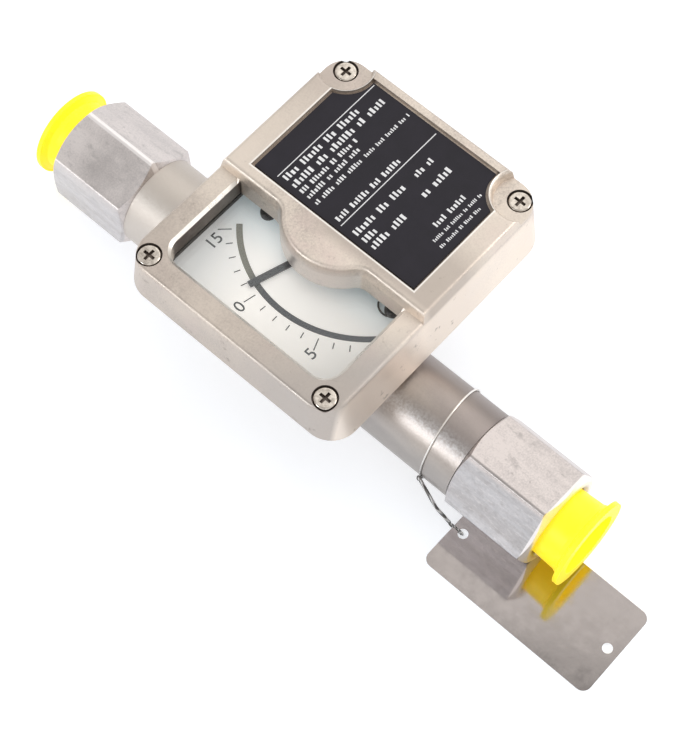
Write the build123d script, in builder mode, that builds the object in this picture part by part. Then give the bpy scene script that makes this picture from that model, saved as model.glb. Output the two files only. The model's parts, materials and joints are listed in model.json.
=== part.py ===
from build123d import *
from math import atan2, cos, degrees, radians, sin, sqrt, tan
import os

os.makedirs("parts", exist_ok=True)

# The pipe axis is Y, with the inlet mouth at the origin and flow towards +Y. Z points out of the dial.

# End fittings: hexagon bar with a half-inch taper port
face_to_face = 166.5
hex_across = 27.0
hex_length = 26.5
hex_ridge_radius = 1.0
hex_turn = 5.0
hex_face_diameter = 25.6
hex_chamfer_angle = 30.0
port_mouth_diameter = 20.5
port_depth = 15.0
port_taper = 1 / 16
port_chamfer = 0.9
flow_cone_length = 1.0
spigot_length = 10.0
spigot_wall = 2.45
slip = 0.05

# Metering tube and its seals
tube_diameter = 26.0
tube_wall = 3.0
ring_section = 1.4
ring_facets = 8
ring_groove_width = 1.9
ring_groove_depth = 1.45

# Guide spiders, rod and metering sleeve
guide_thickness = 4.0
guide_hole_diameter = 4.6
guide_rim = 1.35
guide_hole_count = 6
rod_diameter = 3.0
rod_clearance = 0.05
sleeve_inlet_wall = 3.25
sleeve_outlet_wall = 1.45

# Float, with a ring magnet inside
float_gap = 0.4
float_rim_height = 1.1
float_length = 26.0
float_head_length = 5.0
float_cone_length = 2.5
float_rim_width = 1.25
float_wall = 0.9
magnet_length = 16.0
magnet_clearance = 0.05
float_cap_thickness = 1.2
stop_diameter = 6.0
stop_gap = 0.3

# Dial scale: angles in degrees, seen from the front, from +X towards +Y
scale_full = 15.0
scale_full_angle = 133.3
scale_degrees_per_unit = 6.8
reading_ratio = 0.716
float_scale_length = 40.0
pointer_high_angle = 131.5
pointer_low_angle = 226.0

# Indicator housing, centred beside the pipe
housing_y = 87.0
saddle_floor = 2.1
well_gap = 0.7
cover_height = 14.6
cover_top_length = 82.6
cover_top_width = 68.4
cover_top_radius = 7.0
cover_flare_x = 0.4
cover_flare_y = 2.5
cover_foot_radius = 8.0
cover_edge_radius = 1.1
cover_roof = 3.0
skirt_wall = 2.0
cover_wall_x = 3.7
cover_wall_y = 3.1

# Raised half of the cover with its round boss
raised_height = 3.0
raised_edge_radius = 1.2
step_draft = 14.0
boss_blend_radius = 4.0
step_x = -5.9
boss_x = 2.5
boss_radius = 16.0
screw_notch_radius = 6.9

# Window
window_edge_x = 7.15
window_edge_y = 6.6
window_corner_radius = 5.0
window_chamfer = 0.9
chamfer_taper = 45.0
glass_height = 8.3
glass_thickness = 1.6
glass_margin = 2.2
retainer_height = 1.5
retainer_margin = 0.4

# Cover screws
screw_edge_x = 4.3
screw_edge_y = 4.6
screw_diameter = 3.0
screw_head_diameter = 6.0
screw_head_height = 2.0
screw_head_dome = 0.5
counterbore_diameter = 6.8
counterbore_depth = 2.1
screw_hole_diameter = 3.4
screw_boss_radius = 3.6
cross_length = 3.4
cross_width = 0.85
cross_depth = 1.2

# Label plate in its recess
label_step_gap = 4.8
label_edge_x = 3.4
label_edge_y = 7.5
label_thickness = 0.5
label_gap = 0.7
label_notch_radius = 8.9
label_recess_depth = 1.2

# Housing base, saddle and gasket
base_thickness = 3.0
base_gap = 0.3
gasket_thickness = 0.6
gasket_width = 3.0
saddle_half_width = 10.0
saddle_length = 34.0
saddle_screw_x = 6.5
saddle_screw_pitch = 22.0
saddle_screw_diameter = 3.0
saddle_screw_head = 5.6
saddle_screw_depth = 3.0
countersink_angle = 90.0

# Dial plate
dial_height = 4.9
dial_thickness = 0.8
dial_edge_gap_x = 1.4
dial_edge_gap_y = 1.3
dial_shaft_margin = 8.3
dial_shaft_hole = 7.0
dial_post_diameter = 7.0
dial_post_inset_x = 7.0
dial_post_inset_y = 4.0
dial_screw_radius = 25.5
dial_screw_angle = 123.5
dial_screw_head = 4.2
dial_screw_height = 1.6
dial_screw_chamfer = 0.5
dial_screw_diameter = 2.5
dial_screw_length = 3.0
band_outer_radius = 33.5
band_inner_radius = 31.8
band_start_angle = 130.4
band_end_angle = 228.0

# Pointer works, on a shaft beside the tube
pivot_x = 9.7
pivot_y = -1.8
shaft_diameter = 2.0
bearing_clearance = 0.03
shaft_end_gap = 0.3
well_radius = 9.0
well_bore = 14.8
well_bottom_z = -7.0
well_floor = 2.0
jewel_diameter = 5.0
jewel_height = 2.2
jewel_cup_depth = 1.4
follower_diameter = 13.2
follower_height = 4.0
bridge_length = 26.0
bridge_width = 9.0
bridge_thickness = 1.2
bridge_screw_pitch = 20.6
bridge_screw_diameter = 2.0
bridge_screw_head = 3.4
bridge_screw_length = 2.6
upper_jewel_diameter = 4.0
pointer_gap = 0.5
pointer_thickness = 0.6
pointer_length = 34.6
pointer_width = 1.8
pointer_tail = 11.0
pointer_ring_diameter = 6.4
hub_diameter = 5.2
hub_neck_diameter = 3.6
hub_neck_height = 1.4
weight_diameter = 4.4
weight_height = 1.4

# Push-in port plugs
plug_length = 21.0
plug_flange_diameter = 25.6
plug_flange_thickness = 1.3
plug_flare = 2.0
plug_knee_width = 0.5
plug_knee_length = 0.7
plug_mouth_diameter = 19.9
plug_tip_diameter = 18.8
plug_wall = 1.2
inlet_plug_stand = 8.6
outlet_plug_stand = 6.2

# Tag and its wire
wire_diameter = 0.5
tag_length = 53.2
tag_width = 27.0
tag_thickness = 1.0
tag_corner_radius = 2.5
tag_hole_diameter = 2.8
tag_hole_inset = 3.2
tag_wired_hole_offset = -1.1
tag_free_hole_offset = -0.2
tag_centre_x = -12.9
tag_wired_end_y = 22.1
wire_ring_y = 36.2
wire_ring_slope = 0.1
twist_diameter = 0.95
knot_diameter = 1.5
knot_angle = 193.5
twist_bulge = (-15.0, 27.5, -8.2)
loop_stand = 1.5


def at_housing(z):
    return Plane(origin=(housing_x, housing_y, z))


def at_pivot(z):
    return Plane(origin=(housing_x + pivot_x, housing_y + pivot_y, z))


def on_dial(radius, angle):
    return (radius * cos(radians(angle)), radius * sin(radians(angle)))


def boss_corners(sketch):
    # The two points where the round boss leaves the straight step
    corners = sketch.vertices().filter_by(lambda v: abs(v.Y) < boss_radius)
    return corners.filter_by(lambda v: abs(v.X - step_x) < slip)


def is_low_rim(edge):
    # Outer rim of the low half, on the three sides away from the step
    middle = edge.center()
    x, y = middle.X - housing_x, middle.Y - housing_y
    outside = x < window_left - window_chamfer or abs(y) > window_half_width + window_chamfer
    return abs(middle.Z - pad_z) < slip and outside and x < step_x - slip


# Heights and places that follow from the sizes above
hex_corner_radius = hex_across / sqrt(3)
tube_bore = tube_diameter - 2 * tube_wall
inner_diameter = tube_bore - 2 * slip
flow_bore = inner_diameter - 2 * spigot_wall
guide_hole_circle = inner_diameter - 2 * guide_rim - guide_hole_diameter
sleeve_inlet_bore = inner_diameter - 2 * sleeve_inlet_wall
sleeve_outlet_bore = inner_diameter - 2 * sleeve_outlet_wall
float_diameter = sleeve_inlet_bore - 2 * float_gap
float_body_diameter = float_diameter - 2 * float_rim_height
housing_x = tube_diameter / 2 + well_gap + well_radius - pivot_x
skirt_z = tube_diameter / 2 + saddle_floor
glass_top_z = skirt_z + glass_height
dial_top_z = skirt_z + dial_height
tube_start = hex_length
tube_end = face_to_face - hex_length
sleeve_start = tube_start + spigot_length + guide_thickness
sleeve_end = tube_end - spigot_length - guide_thickness
pad_z = skirt_z + cover_height
raised_z = pad_z + raised_height
base_top_z = skirt_z + base_thickness
ledge_z = base_top_z + gasket_thickness
cover_foot_length = cover_top_length + 2 * cover_flare_x
cover_foot_width = cover_top_width + 2 * cover_flare_y
cavity_half_x = cover_top_length / 2 - cover_wall_x
cavity_half_y = cover_top_width / 2 - cover_wall_y
screw_x = cover_top_length / 2 - screw_edge_x
screw_y = cover_top_width / 2 - screw_edge_y
window_left = window_edge_x - cover_top_length / 2
window_half_width = cover_top_width / 2 - window_edge_y
label_left = step_x + label_step_gap
label_right = cover_top_length / 2 - label_edge_x
label_half_width = cover_top_width / 2 - label_edge_y
dial_left = dial_edge_gap_x - cavity_half_x
dial_right = pivot_x + dial_shaft_margin
dial_half_width = cavity_half_y - dial_edge_gap_y
glass_bottom_z = glass_top_z - glass_thickness
dial_bottom_z = dial_top_z - dial_thickness
pointer_z = dial_top_z + pointer_gap
scale_middle_y = housing_y + pivot_y
reading_angle = scale_full_angle + scale_full * (1 - reading_ratio) * scale_degrees_per_unit
float_travel_per_unit = float_scale_length / scale_full
float_y = scale_middle_y + (reading_ratio - 0.5) * float_scale_length
millimetres_per_degree = float_travel_per_unit / scale_degrees_per_unit
float_up = (reading_angle - pointer_high_angle) * millimetres_per_degree
float_down = (pointer_low_angle - reading_angle) * millimetres_per_degree
# The lowest line is the rounded ridge of the outlet fitting
ridge_centre_radius = hex_corner_radius - 2 * hex_ridge_radius / sqrt(3)
floor_z = -(ridge_centre_radius * cos(radians(hex_turn)) + hex_ridge_radius)
screw_corners = [(x, y) for x in (-screw_x, screw_x) for y in (-screw_y, screw_y)]
left_screws = [(-screw_x, -screw_y), (-screw_x, screw_y)]
right_screws = [(screw_x, -screw_y), (screw_x, screw_y)]
dial_screws_at = [on_dial(dial_screw_radius, angle) for angle in (dial_screw_angle, -dial_screw_angle)]

# Hexagon end fittings, each with a tapered port, a flow bore and a spigot with a ring groove
for name, mouth, inward, turn in (("inlet_adapter", 0, 1, 0), ("outlet_adapter", face_to_face, -1, 30)):
    shoulder = mouth + inward * hex_length
    spigot_end = shoulder + inward * spigot_length
    chamfer_run = (hex_corner_radius - hex_face_diameter / 2) * tan(radians(hex_chamfer_angle))
    groove_middle = shoulder + inward * spigot_length / 2
    port_inner = port_mouth_diameter - port_depth * port_taper
    with BuildPart() as adapter:
        with BuildSketch(Plane.XZ.offset(-mouth)):
            RegularPolygon(hex_across / 2, 6, major_radius=False, rotation=turn - hex_turn)
        extrude(amount=-inward * hex_length)
        fillet(adapter.edges().filter_by(Axis.Y), hex_ridge_radius)
        with BuildSketch(Plane.XY):
            with BuildLine():
                Polyline(
                    (0, mouth),
                    (hex_face_diameter / 2, mouth),
                    (hex_corner_radius, mouth + inward * chamfer_run),
                    (hex_corner_radius, shoulder - inward * chamfer_run),
                    (hex_face_diameter / 2, shoulder),
                    (0, shoulder),
                    close=True,
                )
            make_face()
        revolve(axis=Axis.Y, mode=Mode.INTERSECT)
        with BuildSketch(Plane.XY):
            with Locations((inner_diameter / 4, (shoulder + spigot_end) / 2)):
                Rectangle(inner_diameter / 2, spigot_length)
        revolve(axis=Axis.Y)
        with BuildSketch(Plane.XY):
            with Locations((inner_diameter / 2 - ring_groove_depth / 2, groove_middle)):
                Rectangle(ring_groove_depth, ring_groove_width)
        revolve(axis=Axis.Y, mode=Mode.SUBTRACT)
        with BuildSketch(Plane.XY):
            with BuildLine():
                Polyline(
                    (0, mouth),
                    (port_mouth_diameter / 2 + port_chamfer, mouth),
                    (port_mouth_diameter / 2, mouth + inward * port_chamfer),
                    (port_inner / 2, mouth + inward * port_depth),
                    (flow_bore / 2, mouth + inward * (port_depth + flow_cone_length)),
                    (flow_bore / 2, spigot_end),
                    (0, spigot_end),
                    close=True,
                )
            make_face()
        revolve(axis=Axis.Y, mode=Mode.SUBTRACT)
    adapter.part.label = name
    export_step(adapter.part, f"parts/{name}.step")

# Sealing rings in the spigot grooves
ring_middles = (
    ("inlet_o_ring", tube_start + spigot_length / 2),
    ("outlet_o_ring", tube_end - spigot_length / 2),
)
for name, middle in ring_middles:
    with BuildPart() as o_ring:
        with BuildSketch(Plane.XY):
            with Locations((tube_bore / 2 - ring_section / 2 - slip / 2, middle)):
                RegularPolygon(ring_section / 2, ring_facets, major_radius=False, rotation=180 / ring_facets)
        revolve(axis=Axis.Y)
    o_ring.part.label = name
    export_step(o_ring.part, f"parts/{name}.step")

# Metering tube
with BuildPart() as meter_tube:
    with BuildSketch(Plane.XZ.offset(-tube_start)):
        Circle(tube_diameter / 2)
        Circle(tube_bore / 2, mode=Mode.SUBTRACT)
    extrude(amount=-(tube_end - tube_start))
meter_tube.part.label = "meter_tube"
export_step(meter_tube.part, "parts/meter_tube.step")

# Metering sleeve, whose bore widens towards the outlet
with BuildPart() as metering_sleeve:
    with BuildSketch(Plane.XY):
        with BuildLine():
            Polyline(
                (sleeve_inlet_bore / 2, sleeve_start),
                (inner_diameter / 2, sleeve_start),
                (inner_diameter / 2, sleeve_end),
                (sleeve_outlet_bore / 2, sleeve_end),
                close=True,
            )
        make_face()
    revolve(axis=Axis.Y)
metering_sleeve.part.label = "metering_sleeve"
export_step(metering_sleeve.part, "parts/metering_sleeve.step")

# Guide spiders at both ends of the sleeve
for name, start in (("inlet_guide", sleeve_start - guide_thickness), ("outlet_guide", sleeve_end)):
    with BuildPart() as guide:
        with BuildSketch(Plane.XZ.offset(-start)):
            Circle(inner_diameter / 2)
            Circle(rod_diameter / 2 + slip, mode=Mode.SUBTRACT)
            with PolarLocations(guide_hole_circle / 2, guide_hole_count):
                Circle(guide_hole_diameter / 2, mode=Mode.SUBTRACT)
        extrude(amount=-guide_thickness)
    guide.part.label = name
    export_step(guide.part, f"parts/{name}.step")

# Guide rod, held in both spiders
with BuildPart() as guide_rod:
    with BuildSketch(Plane.XZ.offset(-(sleeve_start - guide_thickness))):
        Circle(rod_diameter / 2)
    extrude(amount=-(sleeve_end - sleeve_start + 2 * guide_thickness))
guide_rod.part.label = "guide_rod"
export_step(guide_rod.part, "parts/guide_rod.step")

# Stop collars on the rod, where the float ends its travel
float_bottom = float_y - float_length / 2
float_top = float_y + float_length / 2
stop_spans = (
    ("inlet_stop", sleeve_start, float_bottom - float_down - stop_gap),
    ("outlet_stop", float_top + float_up + stop_gap, sleeve_end),
)
for name, start, end in stop_spans:
    with BuildPart() as stop:
        with BuildSketch(Plane.XZ.offset(-start)):
            Circle(stop_diameter / 2)
            Circle(rod_diameter / 2 + slip, mode=Mode.SUBTRACT)
        extrude(amount=-(end - start))
    stop.part.label = name
    export_step(stop.part, f"parts/{name}.step")

# Float: a turned shell with a sharp metering head, a magnet pocket and a bore for the rod
float_bore = rod_diameter / 2 + rod_clearance
pocket_inner = float_bore + float_wall
pocket_outer = float_body_diameter / 2 - float_wall
pocket_end = float_bottom + float_cap_thickness + magnet_length + magnet_clearance
float_rim_end = float_top - float_head_length + float_cone_length + float_rim_width
with BuildPart() as float_shell:
    with BuildSketch(Plane.XY):
        with BuildLine():
            Polyline(
                (float_bore, float_bottom),
                (pocket_inner, float_bottom),
                (pocket_inner, pocket_end),
                (pocket_outer, pocket_end),
                (pocket_outer, float_bottom),
                (float_body_diameter / 2, float_bottom),
                (float_body_diameter / 2, float_top - float_head_length),
                (float_diameter / 2, float_rim_end - float_rim_width),
                (float_diameter / 2, float_rim_end),
                (float_body_diameter / 2, float_top),
                (float_bore, float_top),
                close=True,
            )
        make_face()
    revolve(axis=Axis.Y)
float_shell.part.label = "float"
export_step(float_shell.part, "parts/float.step")

with BuildPart() as float_magnet:
    with BuildSketch(Plane.XZ.offset(-(float_bottom + float_cap_thickness))):
        Circle(pocket_outer - magnet_clearance)
        Circle(pocket_inner + magnet_clearance, mode=Mode.SUBTRACT)
    extrude(amount=-magnet_length)
float_magnet.part.label = "float_magnet"
export_step(float_magnet.part, "parts/float_magnet.step")

with BuildPart() as float_cap:
    with BuildSketch(Plane.XZ.offset(-float_bottom)):
        Circle(pocket_outer - slip / 2)
        Circle(pocket_inner + slip / 2, mode=Mode.SUBTRACT)
    extrude(amount=-float_cap_thickness)
float_cap.part.label = "float_cap"
export_step(float_cap.part, "parts/float_cap.step")

# Saddle between tube and housing, hollowed to the tube
saddle_middle_y = scale_middle_y
saddle_screws_at = [
    (x, saddle_middle_y + y)
    for x in (-saddle_screw_x, saddle_screw_x)
    for y in (-saddle_screw_pitch / 2, saddle_screw_pitch / 2)
]
with BuildPart() as tube_saddle:
    with BuildSketch(Plane.XY):
        with Locations((0, saddle_middle_y)):
            Rectangle(2 * saddle_half_width, saddle_length)
    extrude(amount=skirt_z)
    with BuildSketch(Plane.XZ):
        Circle(tube_diameter / 2 + slip / 2)
    extrude(amount=-face_to_face, mode=Mode.SUBTRACT)
    with BuildSketch(Plane.XY.offset(skirt_z)):
        with Locations(saddle_screws_at):
            Circle(saddle_screw_diameter / 2 + slip)
    extrude(amount=-saddle_screw_depth, mode=Mode.SUBTRACT)
tube_saddle.part.label = "tube_saddle"
export_step(tube_saddle.part, "parts/tube_saddle.step")

# Housing base: a plate inside the cover's skirt, with a round well for the follower magnet
corner_posts = [
    (dial_post_inset_x - screw_x, dial_post_inset_y - screw_y),
    (dial_post_inset_x - screw_x, screw_y - dial_post_inset_y),
]
with BuildPart() as housing_base:
    with BuildSketch(at_housing(skirt_z)):
        RectangleRounded(
            cover_foot_length - 2 * (skirt_wall + base_gap),
            cover_foot_width - 2 * (skirt_wall + base_gap),
            cover_foot_radius - skirt_wall - base_gap,
        )
    extrude(amount=base_thickness)
    with BuildSketch(at_pivot(well_bottom_z)):
        Circle(well_radius)
    extrude(amount=skirt_z - well_bottom_z)
    with BuildSketch(at_pivot(base_top_z)):
        with Locations(dial_screws_at):
            Circle(dial_post_diameter / 2)
    extrude(amount=dial_bottom_z - base_top_z)
    with BuildSketch(at_housing(base_top_z)):
        with Locations(corner_posts):
            Circle(dial_post_diameter / 2)
    extrude(amount=dial_bottom_z - base_top_z)
    with BuildSketch(at_pivot(base_top_z)):
        Circle(well_bore / 2)
    extrude(amount=-(base_top_z - well_bottom_z - well_floor), mode=Mode.SUBTRACT)
    with BuildSketch(at_pivot(base_top_z)):
        Rectangle(bridge_width + 2 * slip, bridge_length + 2 * slip)
    extrude(amount=-bridge_thickness, mode=Mode.SUBTRACT)
    with BuildSketch(at_pivot(base_top_z - bridge_thickness)):
        with GridLocations(0, bridge_screw_pitch, 1, 2):
            Circle(bridge_screw_diameter / 2 + slip)
    extrude(amount=bridge_thickness - bridge_screw_length - slip, mode=Mode.SUBTRACT)
    with BuildSketch(at_pivot(dial_bottom_z)):
        with Locations(dial_screws_at):
            Circle(dial_screw_diameter / 2 + slip)
    extrude(amount=-dial_screw_length, mode=Mode.SUBTRACT)
    with BuildSketch(at_housing(skirt_z)):
        with Locations(screw_corners):
            Circle(screw_diameter / 2 + slip)
    extrude(amount=base_thickness, mode=Mode.SUBTRACT)
    with Locations([(x, y, base_top_z) for x, y in saddle_screws_at]):
        CounterSinkHole(
            saddle_screw_diameter / 2 + slip,
            saddle_screw_head / 2 + slip,
            depth=base_thickness,
            counter_sink_angle=countersink_angle,
        )
housing_base.part.label = "housing_base"
export_step(housing_base.part, "parts/housing_base.step")

# Countersunk screws that hold the base to the saddle
saddle_shank_end = skirt_z - saddle_screw_depth + slip
with BuildPart() as saddle_screws:
    with BuildSketch(Plane.XY.offset(base_top_z)):
        with Locations(saddle_screws_at):
            Circle(saddle_screw_head / 2)
    extrude(amount=-(saddle_screw_head - saddle_screw_diameter) / 2, taper=countersink_angle / 2)
    with BuildSketch(Plane.XY.offset(saddle_shank_end)):
        with Locations(saddle_screws_at):
            Circle(saddle_screw_diameter / 2)
    extrude(amount=base_top_z - saddle_shank_end)
saddle_screws.part.label = "saddle_screws"
export_step(saddle_screws.part, "parts/saddle_screws.step")

# Gasket between base and cover
with BuildPart() as cover_gasket:
    with BuildSketch(at_housing(base_top_z)):
        RectangleRounded(
            cover_foot_length - 2 * (skirt_wall + base_gap),
            cover_foot_width - 2 * (skirt_wall + base_gap),
            cover_foot_radius - skirt_wall - base_gap,
        )
        RectangleRounded(
            cover_foot_length - 2 * (skirt_wall + base_gap + gasket_width),
            cover_foot_width - 2 * (skirt_wall + base_gap + gasket_width),
            cover_foot_radius - skirt_wall - base_gap - gasket_width,
            mode=Mode.SUBTRACT,
        )
        with Locations(screw_corners):
            Circle(screw_hole_diameter / 2 + base_gap, mode=Mode.SUBTRACT)
    extrude(amount=gasket_thickness)
cover_gasket.part.label = "cover_gasket"
export_step(cover_gasket.part, "parts/cover_gasket.step")

# Cover: a drafted casting, low over the window and raised over the label
crown_length = cover_top_length + (cover_top_length - cover_foot_length) * raised_height / cover_height
crown_width = cover_top_width + (cover_top_width - cover_foot_width) * raised_height / cover_height
well_cuts = ((0, pad_z - glass_top_z, 0), (window_chamfer, window_chamfer, chamfer_taper))
with BuildPart() as cover:
    with BuildSketch(at_housing(skirt_z)):
        RectangleRounded(cover_foot_length, cover_foot_width, cover_foot_radius)
    with BuildSketch(at_housing(raised_z)):
        RectangleRounded(crown_length, crown_width, cover_top_radius)
    loft(ruled=True)
    # The window half and the two right-hand screw seats are lower, with drafted steps
    with BuildSketch(at_housing(pad_z)) as low_side:
        with Locations((step_x, 0)):
            Rectangle(cover_foot_length, 2 * cover_foot_width, align=(Align.MAX, Align.CENTER))
        with Locations((boss_x, 0)):
            Circle(boss_radius, mode=Mode.SUBTRACT)
        fillet(boss_corners(low_side), boss_blend_radius)
        with Locations(right_screws):
            Circle(screw_notch_radius)
    extrude(amount=raised_height, taper=-step_draft, mode=Mode.SUBTRACT)
    fillet(cover.faces().sort_by(Axis.Z)[-1].edges(), raised_edge_radius)
    fillet(cover.edges().filter_by(is_low_rim), cover_edge_radius)
    # Window well, open round the boss: a straight cut, then a wider tapered one that chamfers its rim
    for growth, depth, taper in well_cuts:
        with BuildSketch(at_housing(pad_z)) as well:
            with Locations((window_left - growth, 0)):
                RectangleRounded(
                    cover_foot_length,
                    2 * (window_half_width + growth),
                    window_corner_radius + growth,
                    align=(Align.MIN, Align.CENTER),
                )
            with Locations((step_x, 0)):
                right_half = (Align.MIN, Align.CENTER)
                Rectangle(crown_length, cover_foot_width, align=right_half, mode=Mode.SUBTRACT)
            with Locations((boss_x, 0)):
                Circle(boss_radius, mode=Mode.SUBTRACT)
            fillet(boss_corners(well), boss_blend_radius)
        extrude(amount=-depth, taper=taper, mode=Mode.SUBTRACT)
    # Recess for the base, then the chamber, then the deeper chamber under the raised half
    with BuildSketch(at_housing(skirt_z)):
        RectangleRounded(
            cover_foot_length - 2 * skirt_wall,
            cover_foot_width - 2 * skirt_wall,
            cover_foot_radius - skirt_wall,
        )
    extrude(amount=ledge_z - skirt_z, mode=Mode.SUBTRACT)
    with BuildSketch(at_housing(ledge_z)):
        Rectangle(2 * cavity_half_x, 2 * cavity_half_y)
        with Locations(screw_corners):
            Circle(screw_boss_radius, mode=Mode.SUBTRACT)
    extrude(amount=glass_top_z - ledge_z, mode=Mode.SUBTRACT)
    with BuildSketch(at_housing(glass_top_z)):
        with Locations((step_x + cover_roof, 0)):
            Rectangle(
                cavity_half_x - step_x - cover_roof, 2 * cavity_half_y, align=(Align.MIN, Align.CENTER)
            )
        with Locations(right_screws):
            Circle(screw_notch_radius + cover_roof, mode=Mode.SUBTRACT)
    extrude(amount=raised_z - label_recess_depth - cover_roof - glass_top_z, mode=Mode.SUBTRACT)
    # Recess for the label plate
    with BuildSketch(at_housing(raised_z)):
        with Locations((label_left - label_gap, 0)):
            Rectangle(
                label_right - label_left + 2 * label_gap,
                2 * (label_half_width + label_gap),
                align=(Align.MIN, Align.CENTER),
            )
        with Locations(right_screws):
            Circle(label_notch_radius - label_gap, mode=Mode.SUBTRACT)
    extrude(amount=-label_recess_depth, mode=Mode.SUBTRACT)
    # Screw seats
    with Locations([(housing_x + x, housing_y + y, pad_z) for x, y in screw_corners]):
        CounterBoreHole(screw_hole_diameter / 2, counterbore_diameter / 2, counterbore_depth)
cover.part.label = "cover"
export_step(cover.part, "parts/cover.step")

# Cover screws: domed heads with a cross recess
head_seat_z = pad_z - counterbore_depth
with BuildPart() as cover_screws:
    with BuildSketch(at_housing(head_seat_z)):
        with Locations(screw_corners):
            Circle(screw_head_diameter / 2)
    extrude(amount=screw_head_height)
    fillet(cover_screws.faces().group_by(Axis.Z)[-1].edges(), screw_head_dome)
    with BuildSketch(at_housing(skirt_z)):
        with Locations(screw_corners):
            Circle(screw_diameter / 2)
    extrude(amount=head_seat_z - skirt_z)
    with BuildSketch(at_housing(head_seat_z + screw_head_height)):
        with Locations(screw_corners):
            Rectangle(cross_length, cross_width)
            Rectangle(cross_width, cross_length)
    extrude(amount=-cross_depth, mode=Mode.SUBTRACT)
cover_screws.part.label = "cover_screws"
export_step(cover_screws.part, "parts/cover_screws.step")

# Label plate, notched round the two right-hand screws
label_floor_z = raised_z - label_recess_depth
with BuildPart() as label_plate:
    with BuildSketch(at_housing(label_floor_z)):
        with Locations((label_left, 0)):
            Rectangle(label_right - label_left, 2 * label_half_width, align=(Align.MIN, Align.CENTER))
        with Locations(right_screws):
            Circle(label_notch_radius, mode=Mode.SUBTRACT)
    extrude(amount=label_thickness)
label_plate.part.label = "label_plate"
export_step(label_plate.part, "parts/label_plate.step")

# Window glass, seated from inside against the cover, and its three-sided retainer
glass_left = window_left - glass_margin
glass_right = step_x + glass_margin
glass_half_width = window_half_width + glass_margin
with BuildPart() as window_glass:
    with BuildSketch(at_housing(glass_bottom_z)):
        with Locations((glass_left, 0)):
            Rectangle(glass_right - glass_left, 2 * glass_half_width, align=(Align.MIN, Align.CENTER))
        with Locations(left_screws):
            Circle(screw_boss_radius + base_gap, mode=Mode.SUBTRACT)
    extrude(amount=glass_thickness)
window_glass.part.label = "window_glass"
export_step(window_glass.part, "parts/window_glass.step")

with BuildPart() as window_retainer:
    with BuildSketch(at_housing(glass_bottom_z)):
        with Locations((glass_left, 0)):
            Rectangle(glass_right - glass_left, 2 * glass_half_width, align=(Align.MIN, Align.CENTER))
        with Locations((window_left - retainer_margin, 0)):
            RectangleRounded(
                glass_right - glass_left + window_corner_radius,
                2 * (window_half_width + retainer_margin),
                window_corner_radius,
                align=(Align.MIN, Align.CENTER),
                mode=Mode.SUBTRACT,
            )
        with Locations(left_screws):
            Circle(screw_boss_radius + base_gap, mode=Mode.SUBTRACT)
    extrude(amount=-retainer_height)
window_retainer.part.label = "window_retainer"
export_step(window_retainer.part, "parts/window_retainer.step")

# Dial plate with the arc slot inside its scale
with BuildPart() as dial_plate:
    with BuildSketch(at_housing(dial_bottom_z)):
        with Locations((dial_left, 0)):
            Rectangle(dial_right - dial_left, 2 * dial_half_width, align=(Align.MIN, Align.CENTER))
        with Locations(left_screws):
            Circle(screw_boss_radius + base_gap, mode=Mode.SUBTRACT)
    extrude(amount=dial_thickness)
    with BuildSketch(at_pivot(dial_bottom_z)):
        with BuildLine():
            outer = CenterArc((0, 0), band_outer_radius, band_start_angle, band_end_angle - band_start_angle)
            inner = CenterArc((0, 0), band_inner_radius, band_start_angle, band_end_angle - band_start_angle)
            Line(outer @ 0, inner @ 0)
            Line(outer @ 1, inner @ 1)
        make_face()
        Circle(dial_shaft_hole / 2)
        with Locations(dial_screws_at):
            Circle(dial_screw_diameter / 2 + slip)
    extrude(amount=dial_thickness, mode=Mode.SUBTRACT)
dial_plate.part.label = "dial_plate"
export_step(dial_plate.part, "parts/dial_plate.step")

with BuildPart() as dial_screws:
    with BuildSketch(at_pivot(dial_top_z)):
        with Locations(dial_screws_at):
            Circle(dial_screw_head / 2)
    extrude(amount=dial_screw_height)
    chamfer(dial_screws.faces().group_by(Axis.Z)[-1].edges(), dial_screw_chamfer)
    with BuildSketch(at_pivot(dial_top_z)):
        with Locations(dial_screws_at):
            Circle(dial_screw_diameter / 2)
    extrude(amount=-(dial_thickness + dial_screw_length - slip))
dial_screws.part.label = "dial_screws"
export_step(dial_screws.part, "parts/dial_screws.step")

# Pointer works: two jewels, a bridge, the shaft with its ring magnet, and the pointer on its hub
well_floor_z = well_bottom_z + well_floor
shaft_foot_z = well_floor_z + jewel_height - jewel_cup_depth + shaft_end_gap
with BuildPart() as lower_jewel:
    with BuildSketch(at_pivot(well_floor_z)):
        Circle(jewel_diameter / 2)
    extrude(amount=jewel_height)
    with BuildSketch(at_pivot(well_floor_z + jewel_height)):
        Circle(shaft_diameter / 2 + bearing_clearance)
    extrude(amount=-jewel_cup_depth, mode=Mode.SUBTRACT)
lower_jewel.part.label = "lower_jewel"
export_step(lower_jewel.part, "parts/lower_jewel.step")

bridge_z = base_top_z - bridge_thickness
with BuildPart() as bearing_bridge:
    with BuildSketch(at_pivot(bridge_z)):
        Rectangle(bridge_width, bridge_length)
        Circle(upper_jewel_diameter / 2 + slip, mode=Mode.SUBTRACT)
    extrude(amount=bridge_thickness)
    with Locations([at_pivot(base_top_z) * Pos(0, side * bridge_screw_pitch / 2) for side in (-1, 1)]):
        CounterSinkHole(
            bridge_screw_diameter / 2 + slip,
            bridge_screw_head / 2 + slip,
            depth=bridge_thickness,
            counter_sink_angle=countersink_angle,
        )
bearing_bridge.part.label = "bearing_bridge"
export_step(bearing_bridge.part, "parts/bearing_bridge.step")

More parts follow.
